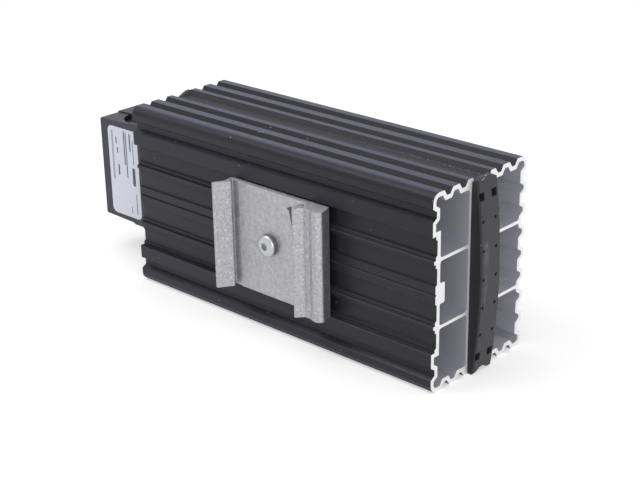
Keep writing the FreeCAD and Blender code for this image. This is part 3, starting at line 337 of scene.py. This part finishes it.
# The heating element in the slot: two aluminium bars press thin electrodes against four dark
# ceramic stones, which a pale frame spaces, and a polyimide sleeve insulates them.

pressed_grey = (0.55, 0.55, 0.56, 1)
pressed_pale = (0.68, 0.68, 0.68, 1)
amber_dark = (0.42, 0.19, 0.02, 1)
amber_pale = (0.6, 0.31, 0.05, 1)
frame_cream = (0.68, 0.65, 0.56, 1)
frame_pale = (0.76, 0.73, 0.65, 1)
ceramic_dark = (0.07, 0.065, 0.06, 1)
ceramic_grey = (0.16, 0.15, 0.14, 1)

pressed, place = start_finish("pressed_aluminium")
rolled = place.grain((40, 0.4, 0.4), 3.0)
close_finish(place, {
    "Base Color": rolled.tint(pressed_grey, pressed_pale),
    "Roughness": 0.34 + rolled * 0.14,
    "Metallic": 1.0,
}, rolled, 0.01)
cover(pressed, "pressure_bar_front", "pressure_bar_rear", "electrode_front", "electrode_rear")

sleeve_film, place = start_finish("polyimide_film")
creases = place.grain((11, 4, 6), 3.0)
close_finish(place, {
    "Base Color": creases.tint(amber_dark, amber_pale),
    "Roughness": 0.2 + creases * 0.15,
}, creases, 0.05)
cover(sleeve_film, "insulating_sleeve")

pale_plastic, place = start_finish("pale_plastic")
milky = place.grain((3, 3, 3), 3.0)
close_finish(place, {
    "Base Color": milky.tint(frame_cream, frame_pale),
    "Roughness": 0.5 + milky * 0.1,
}, milky, 0.02)
cover(pale_plastic, "stone_frame")

ceramic, place = start_finish("dark_ceramic")
fired = place.grain((0.6, 0.6, 0.6), 4.0, 0.65)
close_finish(place, {
    "Base Color": fired.tint(ceramic_dark, ceramic_grey),
    "Roughness": 0.6 + fired * 0.2,
}, fired, 0.03)
cover(ceramic, "ptc_stone_1", "ptc_stone_2", "ptc_stone_3", "ptc_stone_4")


# The four push-in terminals: tinned copper bars with an upturned end, and a bent leaf spring
# of hardened steel in each, seen only through the wire entries.

tin_grey = (0.6, 0.58, 0.53, 1)
tin_pale = (0.76, 0.74, 0.7, 1)
steel_grey = (0.5, 0.5, 0.51, 1)
steel_pale = (0.64, 0.64, 0.64, 1)
terminal_count = 4

tinned, place = start_finish("tinned_copper")
dipped = place.grain((2.5, 1.5, 1.5), 3.0)
close_finish(place, {
    "Base Color": dipped.tint(tin_grey, tin_pale),
    "Roughness": 0.26 + dipped * 0.16,
    "Metallic": 1.0,
}, dipped, 0.02)

spring_steel, place = start_finish("spring_steel")
ground = place.grain((8, 0.2, 0.2), 2.0)
close_finish(place, {
    "Base Color": ground.tint(steel_grey, steel_pale),
    "Roughness": 0.22 + ground * 0.12,
    "Metallic": 1.0,
}, ground, 0.006)

for number in range(1, terminal_count + 1):
    cover(tinned, "contact_bar_%d" % number)
    cover(spring_steel, "clamp_spring_%d" % number)


# The three short leads: stranded wire in silicone insulation of brown, blue and green. Each is
# joined to a tab of the heating element and to the upturned end of a current bar.

lead_colours = (
    ("line_lead", "brown_insulation", (0.13, 0.055, 0.025, 1), (0.18, 0.08, 0.035, 1)),
    ("neutral_lead", "blue_insulation", (0.04, 0.11, 0.44, 1), (0.06, 0.15, 0.55, 1)),
    ("earth_lead", "green_insulation", (0.1, 0.4, 0.08, 1), (0.14, 0.5, 0.12, 1)),
)
for lead, name, dark, pale in lead_colours:
    insulation, place = start_finish(name)
    skin = place.grain((1.2, 1.2, 1.2), 3.0)
    close_finish(place, {
        "Base Color": skin.tint(dark, pale),
        "Roughness": 0.46 + skin * 0.12,
    }, skin, 0.02)
    cover(insulation, lead)


# The two shells of the terminal box: black polyamide, injection moulded with a fine eroded
# texture. They close around the terminals, and the neck of the rear one plugs into the slot.

moulded_dark = (0.0172, 0.0155, 0.0225, 1)
moulded_pale = (0.0265, 0.024, 0.034, 1)
moulded_gloss = (0.85, 0.86, 1.0, 1)

moulded, place = start_finish("black_plastic")
eroded = place.grain((0.28, 0.28, 0.28), 2.0)
flow = place.grain((14, 14, 26), 3.0)
dust = place.specks(4.5, 0.16)
colour = dust.tint((flow * 0.7 + eroded * 0.3).tint(moulded_dark, moulded_pale), dust_white)
close_finish(place, {
    "Base Color": colour,
    "Roughness": 0.42 + flow * 0.12 + eroded * 0.06,
    "IOR": 1.5,
    "Specular IOR Level": 0.62,
    "Specular Tint": moulded_gloss,
}, eroded, 0.02, 0.25)
cover(moulded, "terminal_box_body", "terminal_box_cover")


# A tongue on the rear shell of the terminal box, of the same black polyamide. It closes the
# slot above the collar, and its sloped tip stands up in the valley of the extrusion.

tongue_low = Vector((-1.25, 24.0, 57.5)) * MM
tongue_high = Vector((-0.05, 30.2, 68.2)) * MM
tip_height = 1.7 * MM
tip_scale = 0.32
tip_centre = 29.9 * MM
tongue_rounding = 0.25 * MM
sharp_angle = math.radians(25)
dusted_dark = (0.05, 0.054, 0.052, 1)
dusted_pale = (0.1, 0.108, 0.102, 1)

dusted, place = start_finish("dusty_black_plastic")
patches = place.grain((1.6, 1.2, 1.2), 2.0).fade(0.3, 0.7)
close_finish(place, {
    "Base Color": patches.tint(dusted_dark, dusted_pale),
    "Roughness": 0.6 + patches * 0.15,
    "IOR": 1.5,
}, patches, 0.03)


def deselect():
    bpy.ops.object.select_all(action="DESELECT")


def finish_piece(piece, name, material):
    """Set the place of a new piece into its mesh, name it, dress it and let it ride."""
    deselect()
    piece.select_set(True)
    bpy.context.view_layer.objects.active = piece
    bpy.ops.object.transform_apply(location=True, rotation=True, scale=True)
    piece.name = name
    piece.data.name = name
    piece.data.materials.clear()
    piece.data.materials.append(material)
    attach(piece, "root")


def pick(piece, chosen):
    """Select the corners of a mesh that a test chooses, and what lies between them."""
    corners = piece.data.vertices
    for corner in corners:
        corner.select = chosen(corner)
    for item in (*piece.data.edges, *piece.data.polygons):
        item.select = all(corners[index].select for index in item.vertices)


deselect()
middle = Vector(profile_low) + (tongue_low + tongue_high) / 2
bpy.ops.mesh.primitive_cube_add(size=1, location=middle)
tongue = bpy.context.object
tongue.scale = tongue_high - tongue_low
bpy.ops.object.transform_apply(location=True, rotation=True, scale=True)
tongue_top = profile_low[2] + tongue_high.z
pick(tongue, lambda corner: corner.co.z > tongue_top - tongue_rounding)
bpy.ops.object.mode_set(mode="EDIT")
bpy.ops.mesh.extrude_region_move(TRANSFORM_OT_translate={"value": (0, 0, tip_height)})
tip_level = (0, profile_low[1] + tip_centre, 0)
bpy.ops.transform.resize(value=(1, tip_scale, 1), center_override=tip_level)
bpy.ops.mesh.select_all(action="SELECT")
bpy.ops.mesh.bevel(offset=tongue_rounding, segments=3, affect="EDGES")
bpy.ops.mesh.select_all(action="SELECT")
bpy.ops.mesh.normals_make_consistent(inside=False)
bpy.ops.object.mode_set(mode="OBJECT")
bpy.ops.object.shade_smooth_by_angle(angle=sharp_angle)
finish_piece(tongue, "slot_tongue", dusted)


# The cap of the slot, moulded from the same polyamide and pressed in. Its upper end was scraped
# and bruised by that, and fingers left a glossy streak along its middle, whose lighter grey is a
# painted highlight. Its side towards the clip is darkened nearly to black as painted shade.

cap_dark = (0.0205, 0.0182, 0.0215, 1)
cap_pale = (0.031, 0.0275, 0.0325, 1)
# A near black for painted shade on the side towards the clip.
cap_shade_black = (0.006, 0.006, 0.006, 1)
scraped_white = (0.6, 0.6, 0.6, 1)
# A grey for the bruise, and for the painted highlight of the streak.
bruise_and_highlight_grey = (0.2, 0.2, 0.2, 1)
scrape_ends = ((145.0, 22.2, 68.9), (144.3, 25.4, 69.9))
bruise_ends = ((146.2, 20.0, 69.6), (146.9, 20.3, 68.0))
streak_ends = ((147.0, 23.3, 46.5), (147.0, 22.9, 27.0))
cap_side = 20.9

cap_plastic, place = start_finish("scuffed_black_plastic")
across = place.axis("Y")
eroded = place.grain((0.28, 0.28, 0.28), 2.0)
flow = place.grain((9, 5, 18), 3.0)
dust = place.specks(5.5, 0.16)
scrape = place.stroke(*scrape_ends, 0.4, 0.5, 0.2)
bruise = place.stroke(*bruise_ends, 1.1, 0.5, 0.5)
bruise = bruise * place.grain((0.7, 0.7, 0.7), 1.0).fade(0.3, 0.7)
# The streak is glossier, and its lighter grey is a painted highlight.
streak = place.stroke(*streak_ends, 3.4, 2.2, 1.3)
streak = streak * place.grain((1.5, 1.0, 4), 2.0).fade(0.35, 0.7)
# Painted shade: the side towards the clip is darkened nearly to black and made rougher.
side = across.below(cap_side)
colour = (flow * 0.7 + eroded * 0.3).tint(cap_dark, cap_pale)
colour = (side * 0.8).tint(colour, cap_shade_black)
colour = (streak * 0.4).tint(colour, bruise_and_highlight_grey)
colour = (bruise * 0.8).tint(colour, bruise_and_highlight_grey)
colour = (scrape | dust).tint(colour, scraped_white)
close_finish(place, {
    "Base Color": colour,
    "Roughness": 0.44 + flow * 0.12 + eroded * 0.06 - streak * 0.16 + side * 0.25,
    "IOR": 1.5,
}, eroded + bruise * 2.0 + scrape, 0.02, 0.3)
cover(cap_plastic, "end_cap")


# The type label: white polyester film on the cover of the terminal box. It carries no text,
# and plain grey bars stand where such a label has its print.

label_white = (0.72, 0.75, 0.85, 1)
label_shade = (0.67, 0.7, 0.8, 1)
print_grey = (0.05, 0.05, 0.06, 1)
print_pale = (0.11, 0.11, 0.12, 1)
print_height = 0.015 * MM
bar_rounding = 0.3
label_bars = (
    (2.15, 14.5, 35.0, 0.26), (2.75, 14.5, 35.0, 0.26), (4.8, 29.8, 32.6, 0.6),
    (5.3, 26.0, 28.4, 0.6), (5.6, 16.8, 21.3, 0.8), (9.6, 21.8, 36.0, 0.6),
    (10.65, 16.5, 35.4, 0.55), (13.05, 28.0, 35.5, 0.7), (14.7, 23.0, 33.0, 0.35),
    (14.5, 13.9, 21.4, 1.6), (12.15, 2.0, 4.6, 0.35), (15.2, 1.9, 10.5, 0.4),
)

label_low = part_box("type_label")[0]
film, place = start_finish("label_film")
waves = place.grain((9, 9, 9), 2.0)
close_finish(place, {
    "Base Color": waves.tint(label_shade, label_white),
    "Roughness": 0.34 + waves * 0.1,
    "Coat Weight": 0.15,
}, waves, 0.05)
cover(film, "type_label")

ink, place = start_finish("label_ink")
print_grain = place.grain((0.3, 0.3, 0.3), 2.0)
close_finish(place, {
    "Base Color": print_grain.tint(print_grey, print_pale),
    "Roughness": 0.45 + print_grain * 0.1,
}, print_grain, 0.004)

deselect()
bars = []
for across, low, high, width in label_bars:
    centre = (
        label_low[0] + across * MM,
        label_low[1] - print_height / 2,
        label_low[2] + (low + high) / 2 * MM,
    )
    bpy.ops.mesh.primitive_plane_add(size=1, location=centre, rotation=(math.pi / 2, 0, 0))
    bar = bpy.context.object
    bar.scale = (width * MM, (high - low) * MM, 1)
    bpy.ops.object.transform_apply(location=False, rotation=False, scale=True)
    bpy.ops.object.mode_set(mode="EDIT")
    bpy.ops.mesh.bevel(offset=width * MM * bar_rounding, segments=3, affect="VERTICES")
    bpy.ops.mesh.select_all(action="SELECT")
    rise = (0, -print_height / 2, 0)
    bpy.ops.mesh.extrude_region_move(TRANSFORM_OT_translate={"value": rise})
    bpy.ops.mesh.select_all(action="SELECT")
    bpy.ops.mesh.normals_make_consistent(inside=False)
    bpy.ops.object.mode_set(mode="OBJECT")
    bars.append(bar)
deselect()
for bar in bars:
    bar.select_set(True)
bpy.context.view_layer.objects.active = bars[0]
bpy.ops.object.join()
finish_piece(bars[0], "label_print", ink)


# The rail clip: a bare aluminium profile, cut to 40 mm and tumbled, so that its faces are
# finely speckled and still show the die lines that run along the rail.

clip_pale = (0.61, 0.605, 0.64, 1)
clip_grey = (0.29, 0.285, 0.31, 1)
wedge_black = (0.05, 0.05, 0.055, 1)
plate_front = -1.5
hooks_front = -1.8
# Where a dark wedge is painted on the plate beside the lip of the springy hook.
wedge_top = ((81.5, plate_front, 50.4), (83.2, plate_front, 51.0))
wedge_tail = ((82.7, plate_front, 50.4), (83.2, plate_front, 43.4))

clip_low, clip_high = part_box("rail_clip")
clip_bottom = (clip_low[2] - profile_low[2]) / MM
clip_top = (clip_high[2] - profile_low[2]) / MM
bare, place = start_finish("bare_aluminium")
across, up = place.axis("Y"), place.axis("Z")
sawn = up.below(clip_bottom + saw_skin) | up.above(clip_top - saw_skin)
hooks = across.below(hooks_front)
sand = place.grain((0.8, 0.8, 0.8), 2.0, 0.6).fade(0.3, 0.7)
grit = place.specks(1.9, 0.4)
draw_lines = place.grain((0.35, 0.35, 45), 2.0).fade(0.25, 0.75)
stains = place.grain((1.7, 1.7, 2.3), 4.0, 0.7).fade(0.3, 0.7)
# A dark wedge painted on the plate beside the lip of the springy hook.
dark_wedge = place.stroke(*wedge_top, 1.3, 1.2, 0.4) | place.stroke(*wedge_tail, 2.5, 0.4, 0.4)
tone = sand * (0.4 + hooks * 0.3) + stains * (0.45 - hooks * 0.25) + draw_lines * 0.08
tone = tone * 0.9 + grit * (0.3 + hooks * 0.35) + sawn * 0.15 - hooks * 0.08
colour = (dark_wedge * 0.9).tint(tone.tint(clip_grey, clip_pale), wedge_black)
close_finish(place, {
    "Base Color": colour,
    "Roughness": 0.42 + sand * 0.2 + sawn * 0.15,
    "Metallic": 0.9 - sawn * 0.2,
}, sand * 0.6 + draw_lines * 0.3 + grit * hooks * 0.3, 0.03, 0.3)
cover(bare, "rail_clip")


# The screw of the clip: zinc plated steel with a pan head, turned and cold headed. Its shank
# goes through the plate into the screw rib of the extrusion.

zinc_pale = (0.63, 0.64, 0.65, 1)
zinc_grey = (0.36, 0.37, 0.38, 1)
# The last of these is a near black for painted shade on the side of the head.
zinc_shaded = (0.15, 0.15, 0.17, 1)
head_radius = 4.0 * MM
head_flat = 1.9 * MM
head_height = 2.8 * MM
dome_height = 1.2 * MM
shank_radius = 2.0 * MM
point_length = 1.0 * MM
point_scale = 0.7
lobe_reach = 1.8 * MM
lobe_waist = 0.66
lobe_rounding = 0.3 * MM
lobe_taper = 0.94
drive_depth = 1.15 * MM

screw_low, screw_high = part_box("clip_screw")
axis_x = (screw_low[0] + screw_high[0]) / 2
axis_z = (screw_low[2] + screw_high[2]) / 2
under_head = screw_low[1] + head_height

zinc, place = start_finish("zinc_plated_steel")
plating = place.grain((0.6, 0.6, 0.6), 3.0)
turned_lines = place.grain((0.15, 2.0, 0.15), 1.0)
# Painted shade: the side of the head behind its dome is darkened nearly to black.
head_side = (screw_low[1] + dome_height * 0.8 - profile_low[1]) / MM
shaded_head_side = place.axis("Y").fade(head_side, head_side + 0.5)
colour = (plating * 0.7 + turned_lines * 0.3).tint(zinc_grey, zinc_pale)
close_finish(place, {
    "Base Color": (shaded_head_side * 0.85).tint(colour, zinc_shaded),
    "Roughness": 0.26 + plating * 0.16,
    "Metallic": 0.95,
}, plating, 0.01)


def round_start(radius, corners, level):
    """A filled circle across the screw's axis, facing the front, open in edit mode."""
    deselect()
    bpy.ops.mesh.primitive_circle_add(
        vertices=corners, radius=radius, fill_type="NGON",
        location=(axis_x, level, axis_z), rotation=(math.pi / 2, 0, 0),
    )
    bpy.ops.object.transform_apply(location=True, rotation=True, scale=True)
    bpy.ops.object.mode_set(mode="EDIT")
    bpy.ops.mesh.select_all(action="SELECT")
    return bpy.context.object


def draw_out(distance, scale=1.0):
    """Extrude the selected end along y, and scale the new end about the screw's axis."""
    bpy.ops.mesh.extrude_region_move(TRANSFORM_OT_translate={"value": (0, distance, 0)})
    bpy.ops.transform.resize(value=(scale, 1, scale), center_override=(axis_x, 0, axis_z))


screw = round_start(head_radius, 72, under_head)
draw_out(dome_height - head_height)
radius, level = head_radius, 0.0
for degrees in range(10, 91, 10):
    turn = math.radians(degrees)
    next_radius = head_flat + (head_radius - head_flat) * math.cos(turn)
    next_level = dome_height * math.sin(turn)
    draw_out(level - next_level, next_radius / radius)
    radius, level = next_radius, next_level
bpy.ops.mesh.select_all(action="SELECT")
bpy.ops.mesh.normals_make_consistent(inside=False)
bpy.ops.object.mode_set(mode="OBJECT")
pick(screw, lambda corner: corner.co.y > under_head - dome_height / 2)
bpy.ops.object.mode_set(mode="EDIT")
bpy.ops.mesh.inset(thickness=head_radius - shank_radius)
draw_out(screw_high[1] - under_head - point_length)
draw_out(point_length, point_scale)
bpy.ops.object.mode_set(mode="OBJECT")

drive = round_start(lobe_reach, 12, screw_low[1] - drive_depth)
bpy.ops.object.mode_set(mode="OBJECT")
pick(drive, lambda corner: corner.index % 2 == 1)
bpy.ops.object.mode_set(mode="EDIT")
bpy.ops.transform.resize(value=(lobe_waist, 1, lobe_waist), center_override=(axis_x, 0, axis_z))
bpy.ops.mesh.select_all(action="SELECT")
bpy.ops.mesh.bevel(offset=lobe_rounding, segments=4, affect="VERTICES")
bpy.ops.mesh.select_all(action="SELECT")
draw_out(2 * drive_depth, lobe_taper)
bpy.ops.mesh.select_all(action="SELECT")
bpy.ops.mesh.normals_make_consistent(inside=False)
bpy.ops.object.mode_set(mode="OBJECT")

deselect()
screw.select_set(True)
bpy.context.view_layer.objects.active = screw
recess = screw.modifiers.new("recess", "BOOLEAN")
recess.operation = "DIFFERENCE"
recess.object = drive
bpy.ops.object.modifier_apply(modifier="recess")
bpy.data.objects.remove(drive)
bpy.ops.object.shade_smooth_by_angle(angle=sharp_angle)
finish_piece(screw, "pan_head_screw", zinc)
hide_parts("clip_screw")


# The stage: a white sheet under the heater in a white tent, lit by soft boxes from above, from
# the capped end and from the left, as a small product is photographed for a catalogue.

floor_size = 6.0
floor_white = (0.8, 0.8, 0.8, 1)
floor_glow = 0.4
tent_light = 0.5
tent_white = (1.0, 1.0, 1.0, 1)

deselect()
bpy.ops.mesh.primitive_plane_add(size=floor_size, location=(0, 0, 0))
floor = bpy.context.object
floor.name = "floor"
bpy.ops.object.mode_set(mode="EDIT")
bpy.ops.mesh.subdivide(number_cuts=3)
bpy.ops.object.mode_set(mode="OBJECT")
paper, place = start_finish("white_paper")
rays = place.node("LightPath", {}, {}, "Is Camera Ray")
rays = rays | place.node("LightPath", {}, {}, "Is Glossy Ray")
rays = rays | place.node("LightPath", {}, {}, "Is Transmission Ray")
sheet = place.node("BsdfPrincipled", {}, {
    "Base Color": floor_white,
    "Roughness": 0.9,
    "Specular IOR Level": 0.0,
    "Emission Color": tent_white,
    "Emission Strength": rays * floor_glow,
})
place.node("OutputMaterial", {}, {"Surface": sheet})
floor.data.materials.append(paper)

tent = bpy.data.worlds.new("tent")
bpy.context.scene.world = tent
tent.use_nodes = True
tent.node_tree.nodes.clear()
sky = Shade(tent.node_tree)
rays = sky.node("LightPath", {}, {}, "Is Camera Ray")
rays = rays | sky.node("LightPath", {}, {}, "Is Glossy Ray")
rays = rays | sky.node("LightPath", {}, {}, "Is Transmission Ray")
strength = tent_light + rays * (1 - tent_light)
background = sky.node("Background", {}, {"Color": tent_white, "Strength": strength})
sky.node("OutputWorld", {}, {"Surface": background})


def add_lamp(name, place_at, aim, size, power):
    """One soft box, aimed at a point."""
    deselect()
    bpy.ops.object.light_add(type="AREA", location=place_at)
    lamp = bpy.context.object
    lamp.name = name
    lamp.data.shape = "SQUARE"
    lamp.data.size = size
    lamp.data.energy = power
    lamp.rotation_euler = (Vector(aim) - Vector(place_at)).to_track_quat("-Z", "Y").to_euler()


add_lamp("top_box", (0.1, 0.15, 0.95), (0, 0, 0.04), 0.9, 1.8)
add_lamp("near_box", (1.0, -0.62, 0.42), (0, 0, 0.035), 0.7, 5.3)
add_lamp("left_box", (-0.3, -0.33, 0.68), (0.02, 0, 0.035), 0.42, 1.7)

bpy.context.scene.view_settings.view_transform = "Standard"
